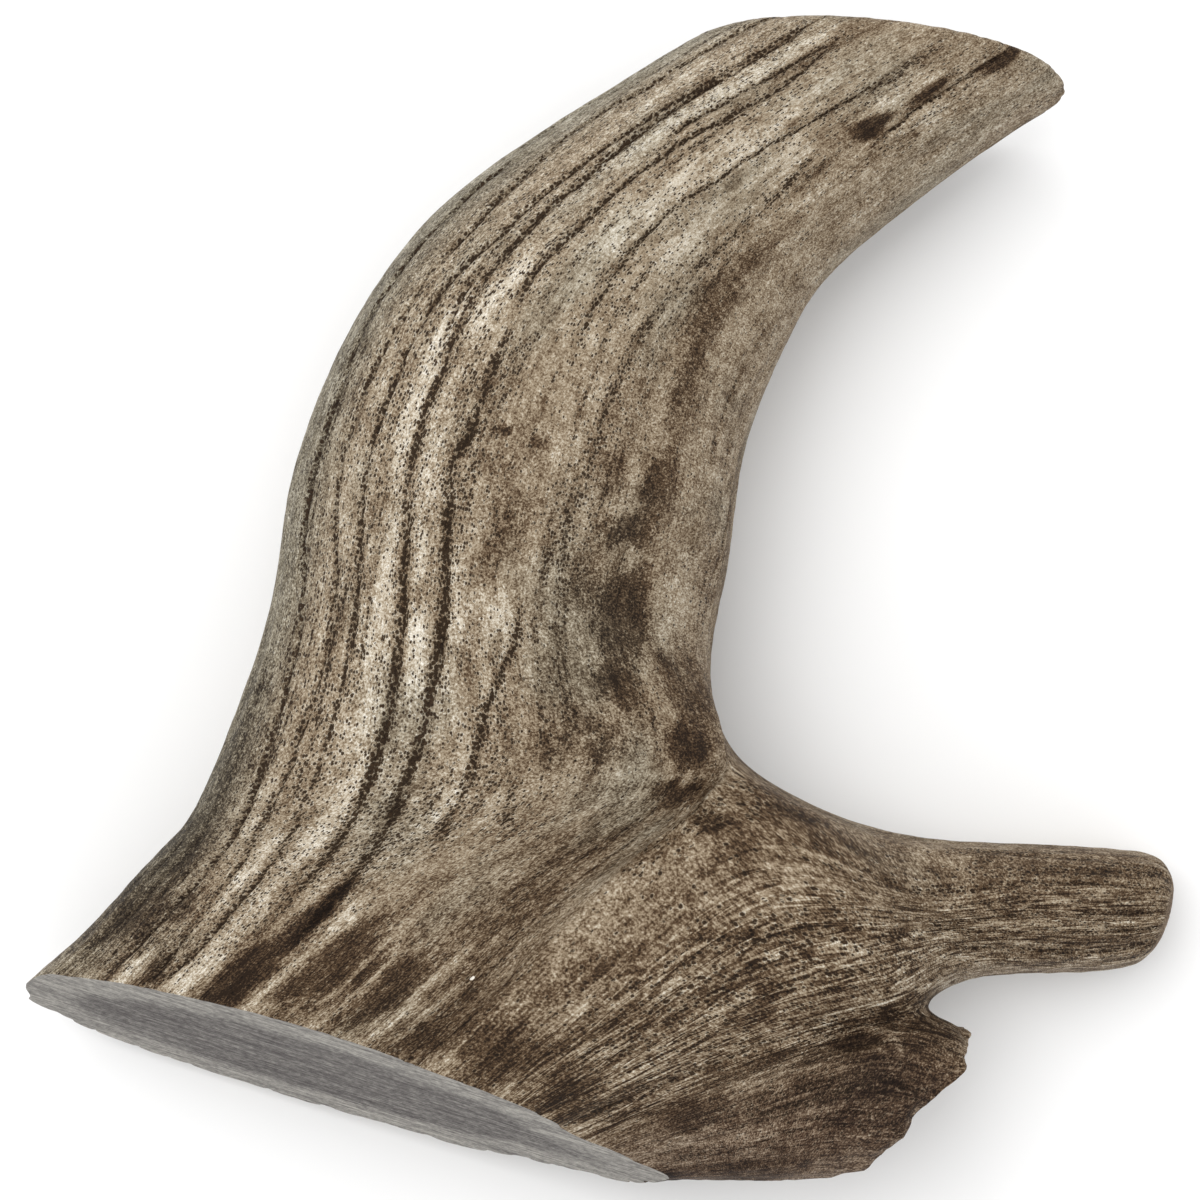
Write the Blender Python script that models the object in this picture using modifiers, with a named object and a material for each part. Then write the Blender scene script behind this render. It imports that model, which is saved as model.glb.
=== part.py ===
"""A sawn piece of elk antler lying on its side.

The antler grew as one branching piece. Its main beam rises from a broad, flat root that is sawn off,
sweeps up and to the right, and ends in a slanted saw cut. A brow tine leaves the root towards the right,
and below it stands the stump of a second tine, with a ragged rim. The piece is split at its two forks.

The frame is +Z up and in metres. The origin is on the surface that the antler lies on, under the middle
of its bounding box. The sizes below are in millimetres.
"""

import math

import bmesh
import bpy
import numpy as np
from mathutils import Matrix, Vector, noise

MM = 0.001

# Columns of the cage that run from the sawn root out into each limb, on the upper and on the lower side.
BEAM, TINE, STUMP, ROOT = range(4)
COLUMNS = (10, 3, 3)
UPPER, LOWER = 0, 1

# A row crosses the antler at right angles to its grain. It is given by its keys, which are the antler's
# outer edges and the forks between its limbs, each as (x, y, middle height, half depth), and then by the
# half depth in the middle of each limb. The first row and each limb's last one lie beyond the saw cuts.
ROOT_ROWS = (
    (((-89.0, -58.0, 17.0, 0.0), (-29.0, -73.5, 19.0, 15.0), (-13.0, -79.0, 18.0, 9.0), (1.0, -81.5, 17.5, 0.0)),
     (16.5, 14.0, 6.5)),
    (((-78.3, -48.7, 17.0, 0.0), (-26.0, -65.5, 19.0, 16.0), (-8.0, -72.0, 18.0, 9.5), (7.5, -77.2, 18.0, 0.0)),
     (18.0, 15.0, 7.0)),
    (((-66.6, -40.7, 17.5, 0.0), (-13.0, -52.0, 20.5, 18.0), (8.0, -63.5, 19.0, 12.0), (14.5, -76.6, 18.0, 0.0)),
     (20.0, 17.0, 9.0)),
    (((-57.9, -31.7, 19.0, 0.0), (2.0, -36.5, 21.5, 16.0), (25.0, -57.0, 19.5, 11.0), (20.5, -76.2, 18.5, 0.0)),
     (21.0, 16.5, 10.0)),
    (((-51.3, -22.0, 21.0, 0.0), (16.7, -23.0, 22.0, 8.0), (40.2, -53.9, 20.0, 6.0), (27.0, -75.5, 19.0, 0.0)),
     (22.0, 15.0, 11.5)),
)
LIMB_ROWS = (
    (
        (((-43.2, -0.5, 22.5, 0.0), (14.4, -8.5, 22.5, 0.0)), (22.0,)),
        (((-38.8, 20.5, 22.5, 0.0), (17.0, 6.0, 23.0, 0.0)), (22.0,)),
        (((-27.7, 42.4, 20.8, 0.0), (19.2, 20.5, 22.0, 0.0)), (20.5,)),
        (((-10.0, 58.6, 19.3, 0.0), (24.3, 32.4, 20.5, 0.0)), (18.0,)),
        (((10.0, 72.3, 18.5, 0.0), (33.1, 44.6, 19.0, 0.0)), (16.3,)),
        (((33.5, 84.5, 17.5, 0.0), (54.6, 61.8, 17.5, 0.0)), (15.0,)),
        (((55.0, 95.0, 16.0, 0.0), (76.0, 74.0, 16.0, 0.0)), (14.5,)),
    ),
    (
        (((35.2, -29.7, 17.5, 0.0), (47.5, -50.2, 17.0, 0.0)), (11.0,)),
        (((53.0, -32.4, 13.4, 0.0), (58.0, -49.5, 13.4, 0.0)), (9.8,)),
        (((69.0, -33.1, 9.3, 0.0), (68.0, -49.3, 9.3, 0.0)), (9.0,)),
        (((75.0, -35.0, 8.5, 0.0), (73.5, -47.2, 8.5, 0.0)), (7.5,)),
        (((79.0, -37.5, 9.0, 0.0), (77.5, -45.5, 9.0, 0.0)), (5.0,)),
    ),
    (
        (((53.0, -57.2, 18.0, 0.0), (43.0, -76.0, 18.0, 0.0)), (11.0,)),
    ),
)

# Share of even spacing between the columns of each root row. The rest follows the limbs' round sections.
ROOT_EVENNESS = (0.7, 0.6, 0.4, 0.2, 0.0)

# The grain's own section, the same all along: how far across the antler each column lies, and how deep.
GRAIN_ROW = (((0.0, 0.0, 0.0, 0.0), (56.0, 0.0, 0.0, 7.0), (76.0, 0.0, 0.0, 5.0), (98.0, 0.0, 0.0, 0.0)),
             (21.0, 9.5, 11.0))

FIT_PASSES = 12
SMOOTH_LEVELS = 2

# Saw cuts: the limb, a point on the plane, and the way that the sawn face looks.
SAW_CUTS = (
    (ROOT, (-34.0, -63.1, 18.5), (-0.287, -0.895, 0.342)),
    (BEAM, (37.0, 69.4, 17.5), (0.155, 0.946, -0.284)),
    (TINE, (75.4, -40.5, 9.5), (0.985, -0.174, 0.0)),
    (STUMP, (41.5, -64.8, 18.0), (0.754, -0.642, -0.139)),
)

# Forks: a point on the plane that parts the limb from the beam, and the way that the limb leaves it.
FORKS = {
    TINE: ((32.4, -37.0, 20.0), (0.80, 0.60, 0.0)),
    STUMP: ((42.5, -56.0, 19.0), (0.72, -0.694, 0.0)),
}
FORK_GAP = 0.3
SAWN = 4

# Furrows wander along the grain, where a stretched noise changes its sign.
FURROW_PITCH = 6.0
FURROW_REACH = 90.0
FURROW_SHARPNESS = 0.2
FURROW_DEPTH = 1.3
LUMP_SIZE = 22.0
LUMP_HEIGHT = 0.8

# Lets the antler down onto the surface, after which its bounding box is centred over the origin.
REST_TURN_X = math.radians(-1.47)
REST_TURN_Y = math.radians(0.91)
REST_SHIFT = (0.59, 0.40, -0.34)

BARK_COLOURS = {
    "main_beam": (0.250, 0.190, 0.120, 1.0),
    "brow_tine": (0.185, 0.135, 0.090, 1.0),
    "tine_stump": (0.120, 0.082, 0.052, 1.0),
}
BARK_ROUGHNESS = 0.62
SAWN_COLOUR = (0.200, 0.190, 0.180, 1.0)
SAWN_ROUGHNESS = 0.8
SHARP_ANGLE = math.radians(40)


def clear_scene():
    for obj in list(bpy.data.objects):
        bpy.data.objects.remove(obj)


def spread(count, starts_outside, ends_outside, evenness):
    """Places from -1 to 1 for the columns of one limb. They stop half a step short of an outer edge."""
    steps = count + (starts_outside + ends_outside) / 2
    places = []
    for column in range(count + 1):
        turn = math.pi * (column + starts_outside / 2) / steps
        places.append(evenness * (2 * turn / math.pi - 1) - (1 - evenness) * math.cos(turn))
    return places


def row_points(row, columns, evenness=0.0):
    """The upper and the lower point of each column in a row, rounded between its keys."""
    keys, middles = row
    points = []
    for limb, count in enumerate(columns):
        start, end = keys[limb], keys[limb + 1]
        middle = middles[limb] ** 2
        slope = (end[3] ** 2 - start[3] ** 2) / 2
        crown = (end[3] ** 2 + start[3] ** 2) / 2 - middle
        places = spread(count, limb == 0, limb == len(columns) - 1, evenness)
        for place in places[1 if limb else 0:]:
            centre = Vector(start[:3]).lerp(Vector(end[:3]), (1 + place) / 2)
            half_depth = Vector((0, 0, math.sqrt(max(middle + slope * place + crown * place ** 2, 0.0))))
            points.append((centre + half_depth, centre - half_depth))
    return points


def middle_of(points):
    return sum((upper + lower for upper, lower in points), Vector()) / (2 * len(points))


class Cage:
    """The coarse form, made by extruding a row of faces from the root out into each limb."""

    def __init__(self):
        self.form = bmesh.new()
        bmesh.ops.create_grid(self.form, x_segments=sum(COLUMNS), y_segments=1, size=1)
        self.column = self.form.verts.layers.int.new("column")
        self.side = self.form.verts.layers.int.new("side")
        self.along = self.form.verts.layers.float.new("along")
        self.at_end = self.form.verts.layers.int.new("at_end")
        for vert in self.form.verts:
            vert[self.column] = round((vert.co.x + 1) / 2 * sum(COLUMNS))
            vert[self.side] = LOWER if vert.co.y > 0 else UPPER

    def place(self, faces, points, first, along):
        for vert in {vert for face in faces for vert in face.verts}:
            vert.co = points[vert[self.column] - first][vert[self.side]]
            vert[self.along] = along
            vert[self.at_end] = 0

    def grow(self, faces, points, first, along, limb):
        """Extrudes end faces by one row, whose columns count from the first, and returns the new ends."""
        made = bmesh.ops.extrude_face_region(self.form, geom=faces)["geom"]
        ends = [item for item in made if isinstance(item, bmesh.types.BMFace)]
        if not faces[0].verts[0][self.at_end]:
            bmesh.ops.delete(self.form, geom=faces, context="FACES")
        self.place(ends, points, first, along)
        for vert in {vert for face in ends for vert in face.verts}:
            for face in vert.link_faces:
                face.material_index = limb
        return ends

    def between(self, faces, first, last):
        return [face for face in faces if all(first <= vert[self.column] <= last for vert in face.verts)]

    def mark_end(self, faces):
        for vert in {vert for face in faces for vert in face.verts}:
            vert[self.at_end] = 1


def build_cage():
    """The cage as a mesh. Its faces carry their limb's number as their material's."""
    cage = Cage()
    faces = list(cage.form.faces)
    points = row_points(ROOT_ROWS[0], COLUMNS, ROOT_EVENNESS[0])
    cage.place(faces, points, 0, 0.0)
    cage.mark_end(faces)
    along = 0.0
    for row, evenness in zip(ROOT_ROWS[1:], ROOT_EVENNESS[1:]):
        before = middle_of(points)
        points = row_points(row, COLUMNS, evenness)
        along += (middle_of(points) - before).length
        faces = cage.grow(faces, points, 0, along, BEAM)
    firsts = [sum(COLUMNS[:limb]) for limb in range(len(COLUMNS))]
    for face in cage.form.faces:
        column = min(vert[cage.column] for vert in face.verts)
        face.material_index = sum(column >= first for first in firsts[1:])
    shares = [cage.between(faces, first, first + count) for first, count in zip(firsts, COLUMNS)]
    for limb, (first, share) in enumerate(zip(firsts, shares)):
        grow_limb(cage, limb, first, share, points[first:first + COLUMNS[limb] + 1], along)
    bmesh.ops.recalc_face_normals(cage.form, faces=cage.form.faces)
    mesh = bpy.data.meshes.new("antler_cage")
    cage.form.to_mesh(mesh)
    cage.form.free()
    return mesh


def grow_limb(cage, limb, first, ends, points, along):
    """Grows one limb from its share of the last root row's end faces."""
    for row in LIMB_ROWS[limb]:
        before = middle_of(points)
        points = row_points(row, (COLUMNS[limb],))
        along += (middle_of(points) - before).length
        ends = cage.grow(ends, points, first, along, limb)
    cage.mark_end(ends)


def coordinates(mesh):
    places = np.empty(3 * len(mesh.vertices))
    mesh.vertices.foreach_get("co", places)
    return places.reshape(-1, 3)


def smoothed(cage, places, levels):
    """A new mesh: the cage with its points at these places, subdivided."""
    cage.vertices.foreach_set("co", places.ravel())
    cage.update()
    holder = bpy.data.objects.new("smoothing", cage)
    bpy.context.scene.collection.objects.link(holder)
    modifier = holder.modifiers.new("smooth", "SUBSURF")
    modifier.levels = modifier.render_levels = levels
    graph = bpy.context.evaluated_depsgraph_get()
    mesh = bpy.data.meshes.new_from_object(holder.evaluated_get(graph))
    bpy.data.objects.remove(holder)
    return mesh


def fitted(cage):
    """Places for the cage's points from which its smooth surface passes through the rows."""
    targets = coordinates(cage)
    ends = [value.value for value in cage.attributes["at_end"].data]
    free = np.array(ends) == 0
    places = targets.copy()
    for _ in range(FIT_PASSES):
        reached = coordinates(smoothed(cage, places, 1))[:len(targets)]
        places[free] += (targets - reached)[free]
    return places


def grain_places(cage):
    """The cage straightened, so that each point stands at its place across, along and into the grain."""
    section = row_points(GRAIN_ROW, COLUMNS)
    layers = [cage.attributes[name].data for name in ("column", "side", "along")]
    places = []
    for column, side, along in zip(*layers):
        point = section[column.value][side.value]
        places.append((point.x, along.value, point.z))
    return np.array(places)


def relief(grain):
    """How far the bark stands out from the smooth form, at a place in the grain."""
    across, along, deep = grain
    sign = noise.noise(Vector((across / FURROW_PITCH, along / FURROW_REACH, deep / FURROW_PITCH)))
    furrow = math.exp(-(sign / FURROW_SHARPNESS) ** 2)
    lump = noise.noise(Vector(grain) / LUMP_SIZE)
    return LUMP_HEIGHT * lump - FURROW_DEPTH * furrow


def build_form():
    """The whole antler before any cut, with furrows and lumps on its smooth surface."""
    cage = build_cage()
    places = fitted(cage)
    straight = smoothed(cage, grain_places(cage), SMOOTH_LEVELS)
    mesh = smoothed(cage, places, SMOOTH_LEVELS)
    for vert, normal, grain in zip(mesh.vertices, mesh.vertex_normals, coordinates(straight)):
        vert.co += relief(grain) * normal.vector
    form = bmesh.new()
    form.from_mesh(mesh)
    return form


def cut(form, limb, point, facing):
    """Saws a limb off at a plane, and closes it with a flat face."""
    faces = [face for face in form.faces if face.material_index == limb or limb == ROOT]
    verts = list(dict.fromkeys(vert for face in faces for vert in face.verts))
    edges = list(dict.fromkeys(edge for face in faces for edge in face.edges))
    made = bmesh.ops.bisect_plane(form, geom=verts + edges + faces, plane_co=point, plane_no=facing,
                                  clear_outer=True)
    rim = [item for item in made["geom_cut"] if isinstance(item, bmesh.types.BMEdge)]
    for face in bmesh.ops.edgeloop_fill(form, edges=rim)["faces"]:
        face.material_index = limb + SAWN


def split_off(form, limb):
    """Parts a limb from the form at its fork, and returns the limb."""
    point, leaving = Vector(FORKS[limb][0]), Vector(FORKS[limb][1]).normalized()
    piece = form.copy()
    cut(form, limb, point - leaving * FORK_GAP / 2, leaving)
    far = [face for face in form.faces if face.material_index in (limb, limb + SAWN)
           and (face.calc_center_median() - point).dot(leaving) > 0]
    bmesh.ops.delete(form, geom=far, context="FACES")
    cut(piece, limb, point + leaving * FORK_GAP / 2, -leaving)
    rest = [face for face in piece.faces if face.material_index not in (limb, limb + SAWN)]
    bmesh.ops.delete(piece, geom=rest, context="FACES")
    return piece


def principled(name, colour, roughness):
    material = bpy.data.materials.new(name)
    material.use_nodes = True
    shader = material.node_tree.nodes["Principled BSDF"]
    shader.inputs["Base Color"].default_value = colour
    shader.inputs["Roughness"].default_value = roughness
    shader.inputs["Metallic"].default_value = 0.0
    return material


def add_piece(name, form, collection):
    """Lets a finished form down onto the surface and makes it an object."""
    rest = Matrix.Rotation(REST_TURN_Y, 4, "Y") @ Matrix.Rotation(REST_TURN_X, 4, "X")
    place = Matrix.Scale(MM, 4) @ Matrix.Translation(REST_SHIFT) @ rest
    bmesh.ops.transform(form, matrix=place, verts=form.verts)
    bmesh.ops.recalc_face_normals(form, faces=form.faces)
    for face in form.faces:
        face.material_index = int(face.material_index >= SAWN)
    mesh = bpy.data.meshes.new(name)
    form.to_mesh(mesh)
    form.free()
    mesh.materials.append(principled(name + "_bark", BARK_COLOURS[name], BARK_ROUGHNESS))
    mesh.materials.append(principled(name + "_sawn", SAWN_COLOUR, SAWN_ROUGHNESS))
    mesh.shade_smooth()
    mesh.set_sharp_from_angle(angle=SHARP_ANGLE)
    piece = bpy.data.objects.new(name, mesh)
    collection.objects.link(piece)


def main():
    clear_scene()
    collection = bpy.data.collections.new("elk_antler")
    bpy.context.scene.collection.children.link(collection)
    beam = build_form()
    for limb, point, facing in SAW_CUTS:
        cut(beam, limb, point, facing)
    tine = split_off(beam, TINE)
    stump = split_off(beam, STUMP)
    add_piece("main_beam", beam, collection)
    add_piece("brow_tine", tine, collection)
    add_piece("tine_stump", stump, collection)


main()
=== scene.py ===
import math

import bmesh
import bpy
import numpy as np
from mathutils import Matrix, Vector, noise


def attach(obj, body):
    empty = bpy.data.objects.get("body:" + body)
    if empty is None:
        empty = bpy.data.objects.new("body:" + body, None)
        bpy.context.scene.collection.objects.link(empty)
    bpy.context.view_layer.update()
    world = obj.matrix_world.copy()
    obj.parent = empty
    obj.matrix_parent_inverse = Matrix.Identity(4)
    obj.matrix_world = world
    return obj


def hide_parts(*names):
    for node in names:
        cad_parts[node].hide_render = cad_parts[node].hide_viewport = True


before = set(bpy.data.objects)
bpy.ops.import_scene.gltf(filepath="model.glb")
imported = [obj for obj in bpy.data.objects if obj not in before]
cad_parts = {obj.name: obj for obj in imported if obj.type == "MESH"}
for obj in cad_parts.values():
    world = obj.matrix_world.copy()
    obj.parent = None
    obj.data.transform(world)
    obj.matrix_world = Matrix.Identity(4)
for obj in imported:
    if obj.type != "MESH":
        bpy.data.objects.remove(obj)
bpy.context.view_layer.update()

# A sawn piece of elk antler that lies on its side. The sizes are in millimetres until the antler is let
# down onto the surface, and "grain" is a place on it as (across, along, deep), straightened out.
MM = 0.001

BEAM, TINE, STUMP, ROOT = range(4)
COLUMNS = (10, 3, 3)
UPPER, LOWER = 0, 1

# Rows across the grain, close to the solids': keys (x, y, middle height, half depth) at the outer
# edges and the forks, then the half depth in the middle of each limb.
ROOT_ROWS = (
    (((-85.0, -59.1, 17.0, 0.0), (-29.0, -73.5, 19.0, 15.0), (-13.0, -79.0, 18.0, 9.0),
      (1.0, -81.5, 17.5, 0.0)), (16.5, 14.0, 6.5)),
    (((-76.0, -50.2, 17.0, 0.0), (-26.0, -65.5, 19.0, 16.0), (-8.0, -72.0, 18.0, 9.5),
      (7.5, -77.2, 18.0, 0.0)), (18.0, 15.0, 7.0)),
    (((-65.8, -41.5, 17.5, 0.0), (-13.0, -52.0, 20.5, 18.0), (8.0, -63.5, 19.0, 12.0),
      (14.5, -76.6, 18.0, 0.0)), (20.0, 17.0, 9.0)),
    (((-57.0, -32.4, 19.0, 0.0), (2.0, -36.5, 21.5, 16.0), (25.0, -57.0, 19.5, 11.0),
      (20.5, -76.2, 18.5, 0.0)), (21.0, 16.5, 10.0)),
    (((-50.3, -22.4, 21.0, 0.0), (16.7, -23.0, 22.0, 8.0), (40.2, -53.9, 20.0, 6.0),
      (27.0, -75.5, 19.0, 0.0)), (22.0, 15.0, 11.5)),
)
LIMB_ROWS = (
    (
        (((-42.8, -0.6, 22.5, 0.0), (14.2, -8.5, 22.5, 0.0)), (22.0,)),
        (((-38.8, 20.5, 22.5, 0.0), (16.7, 6.0, 23.0, 0.0)), (22.0,)),
        (((-27.7, 42.4, 20.8, 0.0), (19.2, 20.5, 22.0, 0.0)), (20.5,)),
        (((-10.3, 59.0, 19.3, 0.0), (23.9, 32.6, 20.5, 0.0)), (18.0,)),
        (((10.1, 72.1, 18.5, 0.0), (32.9, 44.8, 19.0, 0.0)), (16.3,)),
        (((33.5, 84.5, 17.5, 0.0), (54.6, 61.8, 17.5, 0.0)), (15.0,)),
        (((55.0, 95.0, 16.0, 0.0), (76.0, 74.0, 16.0, 0.0)), (14.5,)),
    ),
    (
        (((35.2, -30.1, 17.5, 0.0), (47.5, -50.2, 17.0, 0.0)), (11.0,)),
        (((53.0, -32.7, 13.4, 0.0), (58.0, -49.4, 13.4, 0.0)), (9.8,)),
        (((69.0, -33.4, 9.3, 0.0), (68.0, -49.6, 9.3, 0.0)), (9.0,)),
        (((75.2, -34.7, 8.5, 0.0), (73.8, -48.1, 8.5, 0.0)), (7.5,)),
        (((79.0, -37.5, 9.0, 0.0), (77.5, -45.5, 9.0, 0.0)), (5.0,)),
    ),
    (
        (((53.0, -57.2, 18.0, 0.0), (43.0, -76.0, 18.0, 0.0)), (11.0,)),
    ),
)
ROOT_EVENNESS = (0.7, 0.6, 0.4, 0.2, 0.0)
GRAIN_ROW = (((0.0, 0.0, 0.0, 0.0), (56.0, 0.0, 0.0, 7.0), (76.0, 0.0, 0.0, 5.0), (98.0, 0.0, 0.0, 0.0)),
             (21.0, 9.5, 11.0))
FIT_PASSES = 12
SMOOTH_LEVELS = 4

# Saw cuts: the limb, a point on the plane, the way that the sawn face looks, how far sanding rounds it, and
# how far the bare bone comes round its edge.
NO_EDGE = 0.001
SAW_CUTS = (
    (ROOT, (-34.0, -63.1, 18.5), (-0.287, -0.895, 0.342), 0.0, NO_EDGE),
    (BEAM, (37.06, 69.65, 17.45), (0.155, 0.946, -0.284), 1.8, NO_EDGE),
    (TINE, (76.1, -40.6, 9.5), (0.962, -0.272, 0.0), 2.4, 1.0),
    (STUMP, (41.5, -64.8, 18.0), (0.754, -0.642, -0.139), 0.0, NO_EDGE),
)
STUMP_CUT = 3

# A limb's sawn face takes the material this many places after its bark's, and lines this far apart cross it.
SAWN = 4
SCORE_STEP = 1.0

# Rings round a sanded limb, as shares of the way to its cut, and how near the cut its middle is found.
SANDED_RINGS = (0.0, 0.35, 0.6, 0.8, 0.92, 0.98)
SANDED_SLICE = 1.0

# Knobs and notches of the stump's broken end: the middle (x, y), the half size, and how far it stands out
# from the heart of the stump.
STUMP_HEART = (34.3, -61.1)
KNOBS = (
    (45.3, -61.2, 1.8, 1.7), (47.8, -55.3, 2.4, -1.0), (43.4, -64.4, 2.2, -0.9), (40.4, -67.8, 2.2, -0.9),
)

# Furrows of the upper side: how dark, how wide, and where they run in the grain as (along, across).
FURROWS = (
    (0.80, 0.40, ((17, 6.7), (22, 6.9), (32, 7.3), (40, 7.5), (47, 7.1), (55, 6.7), (65, 6.3), (73, 5.9),
                  (76, 5.0), (80, 4.0), (88, 3.6), (100, 3.4), (118, 3.0), (128, 2.4))),
    (0.80, 0.45, ((17, 12.5), (20, 12.2), (27, 11.5), (32, 11.3), (38, 10.9), (42, 10.4), (47, 9.4),
                  (60, 9.3), (65, 9.9), (70, 10.2), (75, 9.9), (79, 9.3), (85, 7.5), (92, 7.3), (100, 7.2),
                  (112, 7.6), (120, 7.7), (124, 6.9), (133, 5.4), (138, 5.6), (143, 6.7), (150, 7.0),
                  (162, 6.9))),
    (0.90, 0.45, ((17, 13.6), (22, 14.3), (28, 14.7), (35, 14.7), (41, 14.4), (45, 13.6), (49, 12.9),
                  (54, 12.3), (60, 12.3), (65, 12.7), (70, 13.2), (75, 13.1), (79, 12.6), (83, 12.0),
                  (87, 11.3), (92, 11.0), (98, 10.7), (104, 10.3), (113, 10.9), (120, 11.9), (126, 11.7),
                  (132, 11.8), (139, 12.5), (145, 13.2), (152, 13.4), (165, 13.7))),
    (1.00, 0.75, ((36, 21.0), (38, 20.9), (42, 20.3), (45, 19.6), (48, 18.8), (52, 18.3), (57, 17.9),
                  (62, 18.3), (67, 19.0), (73, 19.4), (77, 19.0), (81, 18.3), (85, 17.9), (89, 17.0),
                  (94, 16.5), (99, 16.2), (104, 15.7), (110, 15.1), (117, 14.8), (124, 14.4), (131, 14.2),
                  (138, 14.0), (146, 14.4), (153, 14.6), (162, 14.3))),
    (0.80, 0.45, ((100, 15.8), (102, 15.5), (105, 14.6), (110, 13.6), (115, 13.2), (122, 12.6))),
    (1.00, 0.85, ((28, 26.2), (32, 26.0), (37, 25.7), (41, 25.2), (45, 24.2), (49, 23.0), (53, 22.2),
                  (57, 21.8), (61, 22.4), (66, 23.1), (70, 24.0), (75, 24.6), (80, 24.0), (84, 23.5),
                  (88, 22.8), (93, 22.0), (97, 23.0), (103, 22.6), (110, 22.2))),
    (0.95, 0.60, ((113, 21.2), (118, 20.3), (124, 20.6), (130, 20.2), (136, 20.5), (142, 21.0),
                  (147, 22.0), (152, 22.9), (158, 22.6), (165, 20.6))),
    (0.80, 0.60, ((139, 19.6), (143, 18.4), (149, 19.3), (156, 19.8), (166, 20.5))),
    (0.90, 0.55, ((44, 31.8), (48, 29.6), (52, 28.7), (56, 28.2), (60, 28.4), (64, 29.1), (67, 30.4),
                  (70, 31.8), (73, 33.4), (77, 33.9))),
    (0.90, 0.38, ((111, 31.8), (116, 31.0), (121, 30.2), (126, 29.7), (131, 29.4), (136, 29.8),
                  (140, 30.7), (144, 31.1), (148, 31.6), (153, 32.4), (158, 33.2), (163, 33.9),
                  (168, 35.5))),
    (0.55, 0.90, ((82, 37.4), (95, 38.0), (103, 38.3), (110, 38.6), (118, 38.5), (126, 38.8), (133, 39.8),
                  (139, 40.5), (145, 40.7), (154, 39.0))),
    (0.65, 0.45, ((46, 38.0), (49, 36.2), (52, 34.2), (56, 33.0))),
    (0.75, 0.40, ((160, 44.6), (166, 43.4), (172, 43.6), (180, 43.0))),
    (0.60, 0.30, ((25, 68.8), (35, 68.2), (45, 67.6), (55, 67.4), (70, 68.0), (90, 69.0), (104, 69.4))),
    (0.60, 0.30, ((22, 66.4), (30, 66.9), (40, 66.2), (50, 66.0), (62, 66.6), (80, 66.0), (104, 66.2))),
    (0.60, 0.30, ((24, 71.2), (40, 70.2), (55, 70.0), (70, 71.0), (85, 72.4), (104, 72.6))),
    (0.55, 0.35, ((60, 59.5), (75, 61.2), (90, 60.8), (104, 61.6))),
    (0.55, 0.35, ((18, 74.0), (30, 74.9), (45, 75.2), (55, 75.0))),
    (0.55, 0.35, ((20, 90.2), (35, 90.6), (50, 89.4), (64, 90.0))),
    (0.55, 0.35, ((28, 84.0), (40, 86.2), (52, 85.4), (64, 84.6))),
)

# How far the pits spread on either side of a furrow, and the share of its width that its dark bottom takes.
HALO = 2.6
BOTTOM_SHARE = 0.55

# Hollows and ridges of the upper side, as soft ovals in the grain: the middle (across, along), the half
# sizes, how far the oval leans, and how high it stands.
SWELLINGS = (
    (78.8, 49.0, 2.0, 4.0, 0.2, -1.2), (79.8, 54.3, 1.0, 4.2, 0.85, 0.7), (85.0, 50.0, 2.5, 6.0, 0.1, 0.5),
    (50.6, 54.4, 4.0, 1.6, -1.0, -0.5), (57.5, 51.5, 3.0, 1.4, 0.4, -0.5), (54.5, 58.0, 3.0, 2.0, 0.0, 0.4),
    (46.6, 79.0, 4.0, 8.0, 0.0, -0.5), (29.0, 98.0, 3.6, 0.5, -0.35, -0.25),
)

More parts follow.
